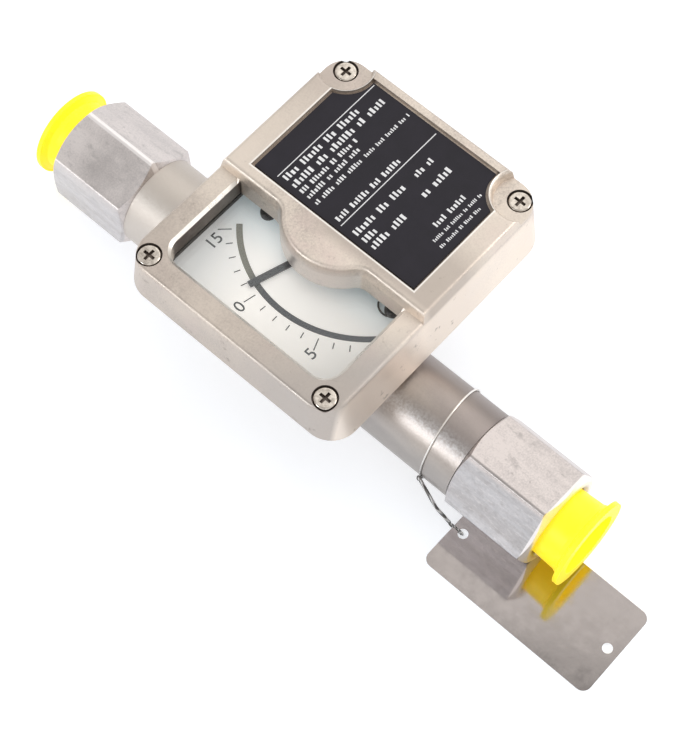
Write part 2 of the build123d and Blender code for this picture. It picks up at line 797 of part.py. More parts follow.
with BuildPart() as bridge_screws:
    with BuildSketch(at_pivot(base_top_z)):
        with GridLocations(0, bridge_screw_pitch, 1, 2):
            Circle(bridge_screw_head / 2)
    extrude(amount=-(bridge_screw_head - bridge_screw_diameter) / 2, taper=countersink_angle / 2)
    with BuildSketch(at_pivot(base_top_z)):
        with GridLocations(0, bridge_screw_pitch, 1, 2):
            Circle(bridge_screw_diameter / 2)
    extrude(amount=-bridge_screw_length)
bridge_screws.part.label = "bridge_screws"
export_step(bridge_screws.part, "parts/bridge_screws.step")

with BuildPart() as upper_jewel:
    with BuildSketch(at_pivot(bridge_z)):
        Circle(upper_jewel_diameter / 2)
        Circle(shaft_diameter / 2 + bearing_clearance, mode=Mode.SUBTRACT)
    extrude(amount=bridge_thickness)
upper_jewel.part.label = "upper_jewel"
export_step(upper_jewel.part, "parts/upper_jewel.step")

hub_top_z = pointer_z + hub_neck_height
with BuildPart() as pointer_shaft:
    with BuildSketch(at_pivot(shaft_foot_z)):
        Circle(shaft_diameter / 2)
    extrude(amount=hub_top_z - shaft_foot_z)
pointer_shaft.part.label = "pointer_shaft"
export_step(pointer_shaft.part, "parts/pointer_shaft.step")

with BuildPart() as follower_magnet:
    with BuildSketch(at_pivot(-follower_height / 2)):
        Circle(follower_diameter / 2)
        Circle(shaft_diameter / 2 + slip / 2, mode=Mode.SUBTRACT)
    extrude(amount=follower_height)
follower_magnet.part.label = "follower_magnet"
export_step(follower_magnet.part, "parts/follower_magnet.step")

with BuildPart() as pointer_hub:
    with BuildSketch(at_pivot(dial_bottom_z + slip)):
        Circle(hub_diameter / 2)
    extrude(amount=pointer_z - dial_bottom_z - slip)
    with BuildSketch(at_pivot(pointer_z)):
        Circle(hub_neck_diameter / 2)
    extrude(amount=hub_neck_height)
    with BuildSketch(at_pivot(dial_bottom_z)):
        Circle(shaft_diameter / 2 + slip / 2)
    extrude(amount=hub_top_z - dial_bottom_z, mode=Mode.SUBTRACT)
pointer_hub.part.label = "pointer_hub"
export_step(pointer_hub.part, "parts/pointer_hub.step")

pointer_plane = at_pivot(pointer_z) * Rot(0, 0, reading_angle)
with BuildPart() as pointer:
    with BuildSketch(pointer_plane):
        Circle(pointer_ring_diameter / 2)
        Rectangle(pointer_length, pointer_width, align=(Align.MIN, Align.CENTER))
        Rectangle(pointer_tail, pointer_width, align=(Align.MAX, Align.CENTER))
        with Locations((-pointer_tail, 0)):
            Circle(weight_diameter / 2)
        Circle(hub_neck_diameter / 2 + slip / 2, mode=Mode.SUBTRACT)
    extrude(amount=pointer_thickness)
pointer.part.label = "pointer"
export_step(pointer.part, "parts/pointer.step")

weight_plane = at_pivot(pointer_z + pointer_thickness) * Rot(0, 0, reading_angle)
with BuildPart() as counterweight:
    with BuildSketch(weight_plane):
        with Locations((-pointer_tail, 0)):
            Circle(weight_diameter / 2)
    extrude(amount=weight_height)
counterweight.part.label = "counterweight"
export_step(counterweight.part, "parts/counterweight.step")

# Push-in plugs: thin tapered cups with a flared flange
for name, mouth, outward, stand in (
    ("inlet_plug", 0, -1, inlet_plug_stand),
    ("outlet_plug", face_to_face, 1, outlet_plug_stand),
):
    rim = mouth + outward * (stand + plug_flange_thickness / 2)
    back = rim - outward * plug_flange_thickness
    tip = rim - outward * plug_length
    slope = (plug_mouth_diameter - plug_tip_diameter) / 2 / (plug_length - stand)
    neck = plug_mouth_diameter / 2 + slope * (stand - plug_flare)
    neck_end = (neck, back - outward * plug_flare)
    knee = (neck + plug_knee_width, back - outward * plug_knee_length)
    floor_edge = (plug_tip_diameter / 2 - plug_wall, tip + outward * plug_wall)
    with BuildPart() as plug:
        with BuildSketch(Plane.XY):
            with BuildLine():
                Line((0, tip), (plug_tip_diameter / 2, tip))
                Line((plug_tip_diameter / 2, tip), neck_end)
                Line(neck_end, knee)
                Line(knee, (neck + plug_flare, back))
                Line((neck + plug_flare, back), (plug_flange_diameter / 2, back))
                Line((plug_flange_diameter / 2, back), (plug_flange_diameter / 2, rim))
                Line((plug_flange_diameter / 2, rim), (neck - plug_wall, rim))
                Line((neck - plug_wall, rim), floor_edge)
                Line(floor_edge, (0, tip + outward * plug_wall))
                Line((0, tip + outward * plug_wall), (0, tip))
            make_face()
        revolve(axis=Axis.Y)
    plug.part.label = name
    export_step(plug.part, f"parts/{name}.step")

# Tag: its far end lies on the table and its wired end rides on the wire
tag_far_y = tag_wired_end_y - tag_length
tag_rise = degrees(atan2(wire_diameter + slip, tag_length - tag_hole_inset))
tag_plane = Plane(
    origin=(tag_centre_x, tag_far_y, floor_z),
    x_dir=(1, 0, 0),
    z_dir=(0, -sin(radians(tag_rise)), cos(radians(tag_rise))),
)
tag_holes_at = [
    (tag_free_hole_offset, tag_hole_inset),
    (tag_wired_hole_offset, tag_length - tag_hole_inset),
]
with BuildPart() as tag:
    with BuildSketch(tag_plane):
        with Locations((0, tag_length / 2)):
            RectangleRounded(tag_width, tag_length, tag_corner_radius)
        with Locations(tag_holes_at):
            Circle(tag_hole_diameter / 2, mode=Mode.SUBTRACT)
    extrude(amount=tag_thickness)
tag.part.label = "tag"
export_step(tag.part, "parts/tag.step")

# Wire: a ring round the tube, a knot, a twisted tail and a loop through the tag's hole
ring_radius = tube_diameter / 2 * sqrt(1 + wire_ring_slope**2) + slip + wire_diameter / 2
ring_plane = Plane(origin=(0, wire_ring_y, 0), x_dir=(1, wire_ring_slope, 0), z_dir=(-wire_ring_slope, 1, 0))
knot_reach = ring_radius + knot_diameter / 2 - wire_diameter / 2
knot_at = ring_plane.from_local_coords(
    (knot_reach * cos(radians(knot_angle)), -knot_reach * sin(radians(knot_angle)), 0)
)
loop_x = tag_centre_x + tag_wired_hole_offset
loop_plane = Plane(origin=(loop_x, 0, 0), x_dir=(0, 1, 0), z_dir=(1, 0, 0))
loop_low_z = floor_z + wire_diameter / 2 + slip / 2
loop_high_z = loop_low_z + tag_thickness + wire_diameter + 2 * slip
loop_in_y = tag_wired_end_y - tag_hole_inset
loop_out_y = tag_wired_end_y + loop_stand
loop_radius = (loop_high_z - loop_low_z) / 2
twist_points = [knot_at, Vector(*twist_bulge), Vector(loop_x, loop_out_y, loop_high_z)]
with BuildPart() as tag_wire:
    with BuildSketch(Plane(origin=ring_plane.origin, x_dir=ring_plane.x_dir, z_dir=(0, 0, 1))):
        with Locations((ring_radius, 0)):
            Circle(wire_diameter / 2)
    revolve(axis=Axis(ring_plane.origin, ring_plane.z_dir))
    for start, end in zip(twist_points, twist_points[1:]):
        with BuildSketch(Plane(origin=start, z_dir=end - start)):
            Circle(twist_diameter / 2)
        extrude(amount=(end - start).length)
        with Locations(end):
            Sphere(twist_diameter / 2)
    with Locations(knot_at):
        Sphere(knot_diameter / 2)
    with BuildLine(loop_plane) as loop_path:
        low_run = Line((loop_in_y + loop_radius, loop_low_z), (loop_out_y - loop_radius, loop_low_z))
        outer_bend = RadiusArc(low_run @ 1, (loop_out_y - loop_radius, loop_high_z), -loop_radius)
        high_run = Line(outer_bend @ 1, (loop_in_y + loop_radius, loop_high_z))
        RadiusArc(high_run @ 1, low_run @ 0, -loop_radius)
    with BuildSketch(Plane(origin=low_run @ 0.5, z_dir=(0, 1, 0))):
        Circle(wire_diameter / 2)
    sweep(path=loop_path.wires()[0])
tag_wire.part.label = "tag_wire"
export_step(tag_wire.part, "parts/tag_wire.step")

print("float travel up and down, mm:", round(float_up, 3), round(float_down, 3))
pointer_swing = (round(reading_angle - pointer_high_angle, 3), round(pointer_low_angle - reading_angle, 3))
print("pointer towards full and towards zero, degrees:", *pointer_swing)
print("pointer radians for each metre of float:", round(-radians(1000 / millimetres_per_degree), 4))
print("pivot, mm:", round(housing_x + pivot_x, 3), round(housing_y + pivot_y, 3))
print("floor, mm:", round(floor_z, 4), "tag rise, degrees:", round(tag_rise, 4))
print("wired hole, mm:", loop_x, round(loop_in_y, 3), "tag end, mm:", round(tag_far_y, 3))
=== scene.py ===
import bpy
import json
import math
from mathutils import Matrix, Vector


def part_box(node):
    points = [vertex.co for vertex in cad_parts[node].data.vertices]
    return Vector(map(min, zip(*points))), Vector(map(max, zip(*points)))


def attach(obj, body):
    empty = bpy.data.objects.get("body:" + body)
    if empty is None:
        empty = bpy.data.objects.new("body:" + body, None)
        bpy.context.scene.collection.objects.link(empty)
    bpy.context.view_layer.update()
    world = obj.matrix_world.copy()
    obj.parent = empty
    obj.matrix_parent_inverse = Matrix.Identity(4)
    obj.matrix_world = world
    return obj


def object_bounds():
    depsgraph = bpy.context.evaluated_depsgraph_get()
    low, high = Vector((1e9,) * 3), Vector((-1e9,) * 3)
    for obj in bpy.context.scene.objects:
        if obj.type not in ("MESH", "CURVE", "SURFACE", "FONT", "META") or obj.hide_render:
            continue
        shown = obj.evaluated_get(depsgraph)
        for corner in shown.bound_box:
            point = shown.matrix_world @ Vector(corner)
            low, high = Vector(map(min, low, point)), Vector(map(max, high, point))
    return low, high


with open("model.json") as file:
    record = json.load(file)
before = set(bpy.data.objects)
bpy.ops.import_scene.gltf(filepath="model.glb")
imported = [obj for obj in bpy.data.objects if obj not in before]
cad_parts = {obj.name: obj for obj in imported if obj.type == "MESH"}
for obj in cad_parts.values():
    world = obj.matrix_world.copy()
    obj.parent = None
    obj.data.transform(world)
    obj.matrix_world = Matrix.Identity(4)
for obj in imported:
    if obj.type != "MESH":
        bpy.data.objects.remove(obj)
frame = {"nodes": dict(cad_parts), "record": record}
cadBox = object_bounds()
nodes = frame["nodes"]
mm = 0.001


# shader helpers
class Wire:
    # a socket that can be added to and multiplied with numbers or other sockets
    def __init__(self, kit, socket):
        self.kit = kit
        self.socket = socket

    def maths(self, operation, *values):
        return self.kit.add("ShaderNodeMath", {"operation": operation}, values)

    def __add__(self, other):
        return self.maths("ADD", self, other)

    def __radd__(self, other):
        return self.maths("ADD", other, self)

    def __sub__(self, other):
        return self.maths("SUBTRACT", self, other)

    def __rsub__(self, other):
        return self.maths("SUBTRACT", other, self)

    def __mul__(self, other):
        return self.maths("MULTIPLY", self, other)

    def __rmul__(self, other):
        return self.maths("MULTIPLY", other, self)

    def size(self):
        return self.maths("ABSOLUTE", self)

    def root(self):
        return self.maths("SQRT", self)

    def most(self, other):
        return self.maths("MAXIMUM", self, other)

    def wave(self):
        return self.maths("SINE", self)


class Kit:
    # adds nodes to one node tree
    def __init__(self, tree):
        self.tree = tree

    def add(self, kind, settings, values, output=0):
        node = self.tree.nodes.new(kind)
        for name, value in settings.items():
            if name == "stops":
                ramp = node.color_ramp
                while len(ramp.elements) > len(value):
                    ramp.elements.remove(ramp.elements[-1])
                while len(ramp.elements) < len(value):
                    ramp.elements.new(1.0)
                for element, (position, colour) in zip(ramp.elements, value):
                    element.position = position
                    element.color = colour
            else:
                setattr(node, name, value)
        pairs = values.items() if isinstance(values, dict) else enumerate(values)
        for key, value in pairs:
            self.join(node.inputs[key], value)
        return Wire(self, node.outputs[output])

    def join(self, socket, value):
        if isinstance(value, Wire):
            self.tree.links.new(value.socket, socket)
        else:
            socket.default_value = value

    def span(self, factor, low, high, fromLow=0.0, fromHigh=1.0):
        return self.add(
            "ShaderNodeMapRange",
            {"clamp": True},
            {"Value": factor, "From Min": fromLow, "From Max": fromHigh, "To Min": low, "To Max": high},
        )

    def rising(self, factor, start, end, origin=0.0):
        # from 0 at the start to 1 at the end, in millimetres beyond the origin
        return self.span(factor, 0, 1, origin + start * mm, origin + end * mm)

    def falling(self, factor, start, end, origin=0.0):
        return self.span(factor, 1, 0, origin + start * mm, origin + end * mm)

    def above(self, factor, start, end):
        # 1 where a noise is over the end value, 0 where it is under the start value
        return self.span(factor, 0, 1, start, end)


class Finish(Kit):
    # a material that starts from one Principled shader
    def __init__(self, name, **settings):
        self.material = bpy.data.materials.new(name)
        self.material.use_nodes = True
        super().__init__(self.material.node_tree)
        self.bsdf = self.tree.nodes["Principled BSDF"]
        self.place = self.add("ShaderNodeTexCoord", {}, {}, "Object")
        self.set(**settings)

    def set(self, **settings):
        for key, value in settings.items():
            self.join(self.bsdf.inputs[key.replace("_", " ")], value)

    def surface(self, shader):
        # shows this shader in place of the Principled one
        self.join(self.tree.nodes["Material Output"].inputs["Surface"], shader)

    def axes(self):
        return [self.add("ShaderNodeSeparateXYZ", {}, [self.place], axis) for axis in "XYZ"]

    def noise(self, scale, detail, rough=0.55, stretch=None):
        vector = self.place
        if stretch:
            vector = self.add("ShaderNodeMapping", {}, {"Vector": vector, "Scale": stretch})
        values = {"Vector": vector, "Scale": scale, "Detail": detail, "Roughness": rough}
        return self.add("ShaderNodeTexNoise", {}, values)

    def ramp(self, factor, *stops):
        full = [(position, (*colour, 1)) for position, colour in stops]
        return self.add("ShaderNodeValToRGB", {"stops": full}, {"Fac": factor})

    def mix(self, factor, first, second):
        first, second = [(*part, 1) if isinstance(part, tuple) else part for part in (first, second)]
        return self.add("ShaderNodeMix", {"data_type": "RGBA"}, {0: factor, 6: first, 7: second}, 2)

    def bump(self, height, depth, strength, after=None):
        values = {"Height": height, "Distance": depth, "Strength": strength}
        if after:
            values["Normal"] = after
        return self.add("ShaderNodeBump", {}, values)


def wear(piece, finish):
    piece.data.materials.clear()
    piece.data.materials.append(finish.material)


# finishes: a noise is its scale, detail, roughness and stretch, a row of four other numbers is two
# results and the values that give them, and a bump is its depth and strength
coverPlan = {  # places on the cover, measured from its middle
    "screw": (37.0 * mm, 29.6 * mm),
    "seatRadius": 3.4 * mm,
    "notchRadius": 8.2 * mm,
    "recess": (24.9 * mm, 26.7 * mm, 27.4 * mm),  # middle, half length, half width
    "window": (-34.15 * mm, -5.0 * mm, 27.6 * mm),  # ends and half width
    "boss": (2.5 * mm, 16.3 * mm),  # place and radius
    "step": 3.0 * mm,  # from the raised half down to the low rim
    "outside": 0.1,  # more than any distance on the cover
}
coverLow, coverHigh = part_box("cover")
raisedTop = coverHigh.z
padTop = raisedTop - coverPlan["step"]
housingX = (coverLow.x + coverHigh.x) / 2
housingY = (coverLow.y + coverHigh.y) / 2

castLook = {
    "colours": {
        "pale": (0.80, 0.71, 0.62),
        "mid": (0.68, 0.60, 0.525),
        "dull": (0.50, 0.435, 0.385),
        "grey": (0.45, 0.425, 0.41),
        "pink": (0.72, 0.59, 0.54),
        # painted highlight on the rim round the label recess and on the chamfer round the window
        "rim": (1.0, 0.97, 0.92),
        # painted light on the side wall turned to -Y
        "cream": (1.0, 0.89, 0.79),
        "boss": (0.92, 0.92, 0.93),
        # pits and stains, and the painted shade in the groove round the label recess
        "dirt": (0.17, 0.13, 0.105),
        # painted shade on the wall inside the window
        "well": (0.11, 0.088, 0.075),
        "seat": (0.28, 0.23, 0.20),
    },
    "noises": {
        "mottle": (75, 6.0, 0.62),
        "grain": (2000, 2.0, 0.6),
        "cloud": (20, 3.0, 0.5),
        "tint": (48, 4.0, 0.6),
        "spots": (260, 4.0, 0.7),
    },
    "shares": (0.5, 0.2, 0.3),  # of mottle, cloud and grain in the tone
    "tones": (0.40, 0.5, 0.59),  # that are dull, mid and pale
    "tint": (0, 0.55, 0.5, 0.64),
    "spotNoise": (0.63, 0.72),
    "spotShare": (1, 0.5),  # on the side walls and on top
    "wallShare": (0.8, 1, 0.4, 0.6),
    "amounts": {  # how much of its colour each area takes
        "strip": 0.45,
        "nextToBlock": 0.5,
        "besideLabel": 0.8,
        "besideBoss": 0.8,
        "lowCorner": 0.7,
        "topCorner": 0.45,
        "left": 0.45,
        "inletWall": 0.65,
        "spots": 0.5,
        "groove": 0.7,
        "bright": 0.8,
        "bossSide": 0.4,
    },
    "areas": {  # where each area's edges start and end, in millimetres
        "stripEdge": (26, 28),
        "stripTop": (-0.3, -0.1),
        "inletSide": (-20, -10),
        "blockStart": (-22, -12),
        "blockEnd": (-6, -5),
        "labelStart": (-6, -5),
        "labelEnd": (0, 30),
        "labelSide": (10, 30),
        "bossStart": (-6, -3),
        "bossEnd": (10, 20),
        "bossMiddle": (0, 8),
        "lowCorner": (-58, -40),
        "topCorner": (48, 64),
        "leftEnd": (-32, -22),
        "leftTop": (0, 0.6),
        "inletWall": (-34.6, -33.6),
        "inletWallTop": (-1.5, -0.5),
        "spotTop": (-6, 0),
        "notchHalf": (0, 1),
        "rimInside": (0, 0.08),
        "rimOutside": (0.3, 0.55),
        "rimTop": (-0.2, -0.1),
        "grooveInside": (-1.1, -0.8),
        "grooveOutside": (-0.05, 0),
        "grooveTop": (-0.5, -0.2),
        "grooveFoot": (-1.6, -1.3),
        "nearWindow": (0.95, 1.1),
        "offBoss": (0, 0.5),
        "chamferFoot": (-0.95, -0.85),
        "chamferTop": (-0.1, -0.02),
        "chamferEnd": (-7, -6),
        "wellSide": (26.9, 27.4),
        "wellTop": (-1.2, -0.9),
        "bossSideTop": (-3, -0.4),
        "bossSideEnd": (-5, -4),
        "seatEdge": (0.02, 0.07),
        "seatTop": (-0.25, -0.05),
    },
    "roughness": (0.34, 0.52, 0.3, 0.7),
    "polish": 0.12,  # taken off the roughness where it is bright
    "spotRough": 0.15,
    "grainBump": (0.00006, 0.5),
    "mottleBump": (0.00022, 0.22),
    "metallic": 0.8,
}


def castSteel():
    look, colours, areas, amounts = castLook, castLook["colours"], castLook["areas"], castLook["amounts"]
    f = Finish("castSteel", Metallic=look["metallic"])
    mottle, grain, cloud, tint, spotNoise = [f.noise(*noise) for noise in look["noises"].values()]
    tone = mottle * look["shares"][0] + cloud * look["shares"][1] + grain * look["shares"][2]
    base = f.ramp(tone, *zip(look["tones"], (colours["dull"], colours["mid"], colours["pale"])))
    base = f.mix(f.span(tint, *look["tint"]), base, colours["pink"])
    x, y, z = f.axes()
    x, y = x - housingX, y - housingY
    # duller along the two long edges of the top, but pale on the inlet side and on the low rim
    # next to the raised block
    strip = f.rising(y.size(), *areas["stripEdge"]) * f.rising(z, *areas["stripTop"], padTop)
    inletSide = f.falling(y, *areas["inletSide"])
    nextToBlock = f.rising(x, *areas["blockStart"]) * f.falling(x, *areas["blockEnd"]).most(inletSide)
    base = f.mix(strip * (1 - nextToBlock) * amounts["strip"], base, colours["dull"])
    base = f.mix(strip * nextToBlock * amounts["nextToBlock"], base, colours["pale"])
    besideLabel = f.rising(x, *areas["labelStart"]) * f.falling(x, *areas["labelEnd"])
    besideLabel = besideLabel * f.rising(y, *areas["labelSide"])
    base = f.mix(besideLabel * amounts["besideLabel"], base, colours["pale"])
    besideBoss = f.rising(x, *areas["bossStart"]) * f.falling(x, *areas["bossEnd"])
    besideBoss = besideBoss * f.falling(y, *areas["bossMiddle"])
    base = f.mix(besideBoss * amounts["besideBoss"], base, colours["dull"])
    lowCorner = f.falling(x + y, *areas["lowCorner"])
    base = f.mix(lowCorner * amounts["lowCorner"], base, colours["grey"])
    topCorner = f.rising(x + y, *areas["topCorner"])
    base = f.mix(topCorner * amounts["topCorner"], base, colours["dull"])
    left = f.falling(x, *areas["leftEnd"]) * f.falling(z, *areas["leftTop"], padTop)
    base = f.mix(left * amounts["left"], base, colours["dull"])
    # painted light on the side wall turned to -Y
    inletWall = f.falling(y, *areas["inletWall"]) * f.falling(z, *areas["inletWallTop"], padTop)
    base = f.mix(inletWall * amounts["inletWall"], base, colours["cream"])
    # pits and stains, thicker on the side walls
    wallSpots, topSpots = look["spotShare"]
    spotFoot, spotTop = areas["spotTop"]
    low = f.span(z, wallSpots, topSpots, padTop + spotFoot * mm, padTop + spotTop * mm)
    spots = f.above(spotNoise, *look["spotNoise"]) * low
    base = f.mix(spots * amounts["spots"], base, colours["dirt"])
    # painted highlight on the rim and painted shade in the groove round the label recess, which bends in
    # at the two screws
    recessMiddle, recessLength, recessWidth = coverPlan["recess"]
    across = (x - recessMiddle).size() - recessLength
    along = y.size() - recessWidth
    toScrewX, toScrewY = x.size() - coverPlan["screw"][0], y.size() - coverPlan["screw"][1]
    toScrew = (toScrewX * toScrewX + toScrewY * toScrewY).root()
    notched = f.rising(x, *areas["notchHalf"])
    notch = (coverPlan["notchRadius"] - toScrew) * notched - (1 - notched) * coverPlan["outside"]
    edge = across.most(along).most(notch)
    rim = f.rising(edge, *areas["rimInside"]) * f.falling(edge, *areas["rimOutside"])
    rim = rim * f.rising(z, *areas["rimTop"], raisedTop)
    groove = f.rising(edge, *areas["grooveInside"]) * f.falling(edge, *areas["grooveOutside"])
    groove = groove * f.falling(z, *areas["grooveTop"], raisedTop)
    groove = groove * f.rising(z, *areas["grooveFoot"], raisedTop)
    base = f.mix(groove * amounts["groove"], base, colours["dirt"])
    # painted highlight on the chamfer round the window, and painted shade, patchy with the mottle, on the
    # wall below it
    windowStart, windowEnd, windowWidth = coverPlan["window"]
    inWindow = (x - (windowStart + windowEnd) / 2).size() - (windowEnd - windowStart) / 2
    inWindow = inWindow.most(y.size() - windowWidth)
    nearWindow = f.falling(inWindow, *areas["nearWindow"])
    bossMiddle, bossRadius = coverPlan["boss"]
    bossX = x - bossMiddle
    offBoss = f.rising((bossX * bossX + y * y).root(), *areas["offBoss"], bossRadius)
    chamfer = nearWindow * offBoss * f.rising(z, *areas["chamferFoot"], padTop)
    chamfer = chamfer * f.falling(z, *areas["chamferTop"], padTop) * f.falling(x, *areas["chamferEnd"])
    bright = rim.most(chamfer)
    base = f.mix(bright * amounts["bright"], base, colours["rim"])
    wellSide = f.rising(y, *areas["wellSide"]) * nearWindow * f.falling(z, *areas["wellTop"], padTop)
    base = f.mix(wellSide * f.span(mottle, *look["wallShare"]), base, colours["well"])
    # the side of the round boss catches a cool light
    bossSide = (1 - offBoss) * f.falling(z, *areas["bossSideTop"], raisedTop)
    bossSide = bossSide * f.falling(x, *areas["bossSideEnd"])
    base = f.mix(bossSide * amounts["bossSide"], base, colours["boss"])
    # shaded screw seats
    seat = f.falling(toScrew, *areas["seatEdge"], coverPlan["seatRadius"])
    seat = seat * f.falling(z, *areas["seatTop"], padTop)
    base = f.mix(seat, base, colours["seat"])
    rough = f.span(mottle, *look["roughness"]) - bright * look["polish"]
    f.set(Base_Color=base, Roughness=rough + spots * look["spotRough"])
    f.set(Normal=f.bump(grain, *look["grainBump"], f.bump(mottle, *look["mottleBump"])))
    return f


tubeLook = {
    "colours": {
        "pale": (0.54, 0.475, 0.42),
        "dark": (0.38, 0.33, 0.295),
        "violet": (0.36, 0.31, 0.31),
        "outlet": (0.74, 0.68, 0.62),
        "shade": (0.235, 0.20, 0.185),
        # painted highlight
        "shine": (0.80, 0.80, 0.81),
        "grey": (0.34, 0.34, 0.345),
    },
    "noises": {
        "streak": (110, 4.0, 0.6, (1, 0.3, 1)),
        "rings": (60, 3.0, 0.7, (1, 50, 1)),
        "speck": (1500, 3.0, 0.7),
        "tint": (28, 2.0, 0.5),
    },
    "shares": (0.7, 0.3),  # of streak and speck in the tone
    "tones": (0.36, 0.64),  # that are dark and pale
    "tint": (0, 0.5, 0.5, 0.65),
    "shade": (0, 0.6, -1 * mm, 7 * mm),  # on the side turned to +X
    "grey": (0.5, 0, -12.5 * mm, -9 * mm),  # painted shade low on the side turned to -X
    "shineMiddle": -6.5 * mm,
    "shineWidth": (0, 3.5),
    "shineHeight": (0, 2),
    "shineShare": (0.15, 0.55, 0.4, 0.6),
    "outletEnd": (60, 110),
    "outletAmount": 0.7,
    "outletRough": 0.14,
    "roughness": (0.30, 0.44, 0.3, 0.7),
    "speckBump": (0.00008, 0.5),
    "ringBump": (0.00003, 0.15),
    "metallic": 0.88,
}


def tubeSteel():
    look, colours = tubeLook, tubeLook["colours"]
    f = Finish("tubeSteel", Metallic=look["metallic"])
    streak, rings, speck, tint = [f.noise(*noise) for noise in look["noises"].values()]
    tone = streak * look["shares"][0] + speck * look["shares"][1]
    base = f.ramp(tone, *zip(look["tones"], (colours["dark"], colours["pale"])))
    base = f.mix(f.span(tint, *look["tint"]), base, colours["violet"])
    x, y, z = f.axes()
    base = f.mix(f.span(x, *look["shade"]), base, colours["shade"])
    # a painted highlight along the side turned to -X, speckled
    shine = f.falling((x - look["shineMiddle"]).size(), *look["shineWidth"])
    shine = shine * f.rising(z, *look["shineHeight"])
    base = f.mix(shine * f.span(speck, *look["shineShare"]), base, colours["shine"])
    # painted grey shade low on the side turned to -X
    base = f.mix(f.span(x, *look["grey"]), base, colours["grey"])
    outletEnd = f.rising(y, *look["outletEnd"])
    base = f.mix(outletEnd * look["outletAmount"], base, colours["outlet"])
    rough = f.span(speck, *look["roughness"]) + outletEnd * look["outletRough"]
    f.set(Base_Color=base, Roughness=rough)
    f.set(Normal=f.bump(speck, *look["speckBump"], f.bump(rings, *look["ringBump"])))
    return f


hexLook = {
    "colours": {
        "pale": (0.72, 0.655, 0.63),
        "dark": (0.52, 0.475, 0.46),
        # marks, pits and scuffs, and the painted shade along the inlet ridge
        "mark": (0.36, 0.33, 0.32),
        "scale": (0.27, 0.245, 0.23),
        "cool": (0.51, 0.52, 0.55),
        "bright": (1.0, 0.95, 0.93),
    },
    "noises": {
        "mottle": (60, 6.0, 0.65),
        "drawn": (260, 4.0, 0.65, (1, 0.07, 1)),
        "scuff": (430, 4.0, 0.65, (1, 0.5, 1)),
        "grain": (2200, 2.0, 0.6),
        "pit": (300, 4.0, 0.6, (1, 1.5, 1)),
        "streak": (420, 3.0, 0.6, (1, 0.05, 1)),
        "fleck": (700, 5.0, 0.75, (1, 0.5, 1)),
        "glint": (1500, 4.0, 0.7, (1, 0.25, 1)),
    },
    "shares": (0.4, 0.3, 0.3),  # of mottle, drawn lines and grain in the tone
    "tones": (0.41, 0.57),  # that are dark and pale
    "scuff": (0, 0.6, 0.56, 0.70),
    "pit": (0.67, 0.72),
    "streak": (0.42, 0.62),
    "fleck": (0.5, 0.7),
    "glint": (0.52, 0.75),
    "amounts": {
        "pit": 0.55,
        "cool": 0.6,
        "streak": 0.4,
        "fleck": 0.4,
        "glint": 0.3,
        "inletRidge": 0.6,
        "outletFlats": 0.2,
        "mouth": 0.8,
        "inside": 0.8,
    },
    "outletEnd": (80, 90),
    "coolSide": (-7.6, -7.0),
    "coolShift": 5.6 * mm,  # how much further out the cool side of the outlet fitting starts
    "inletRidge": (25, 0.35),  # degrees from straight up towards -X, and half width
    "outletRidge": (-5, 0.7),
    "ridgeFade": 0.3,
    "ridgeRadius": (12, 13),
    "mouthDepth": (1.2, 1.4),
    "mouthRadius": (11, 12),
    "threadPitch": 1.814 * mm,
    "threadRadius": (10.4, 10.6),
    "insideRadius": (10.3, 10.9),
    "roughness": (0.30, 0.44, 0.3, 0.7),
    "pitRough": 0.15,
    "drawnBump": (0.00005, 0.35),
    "scuffBump": (0.00004, 0.3),
    "threadBump": (0.0005, 0.8),
    "metallic": 0.86,
}


def alongRidge(f, x, z, angle, halfWidth):
    # 1 along one ridge of the hexagon, and 0 beside it
    turn = math.radians(angle)
    across = (x * math.cos(turn) + z * math.sin(turn)).size()
    outward = z * math.cos(turn) - x * math.sin(turn)
    ridge = f.falling(across, halfWidth, halfWidth + hexLook["ridgeFade"])
    return ridge * f.rising(outward, *hexLook["ridgeRadius"])


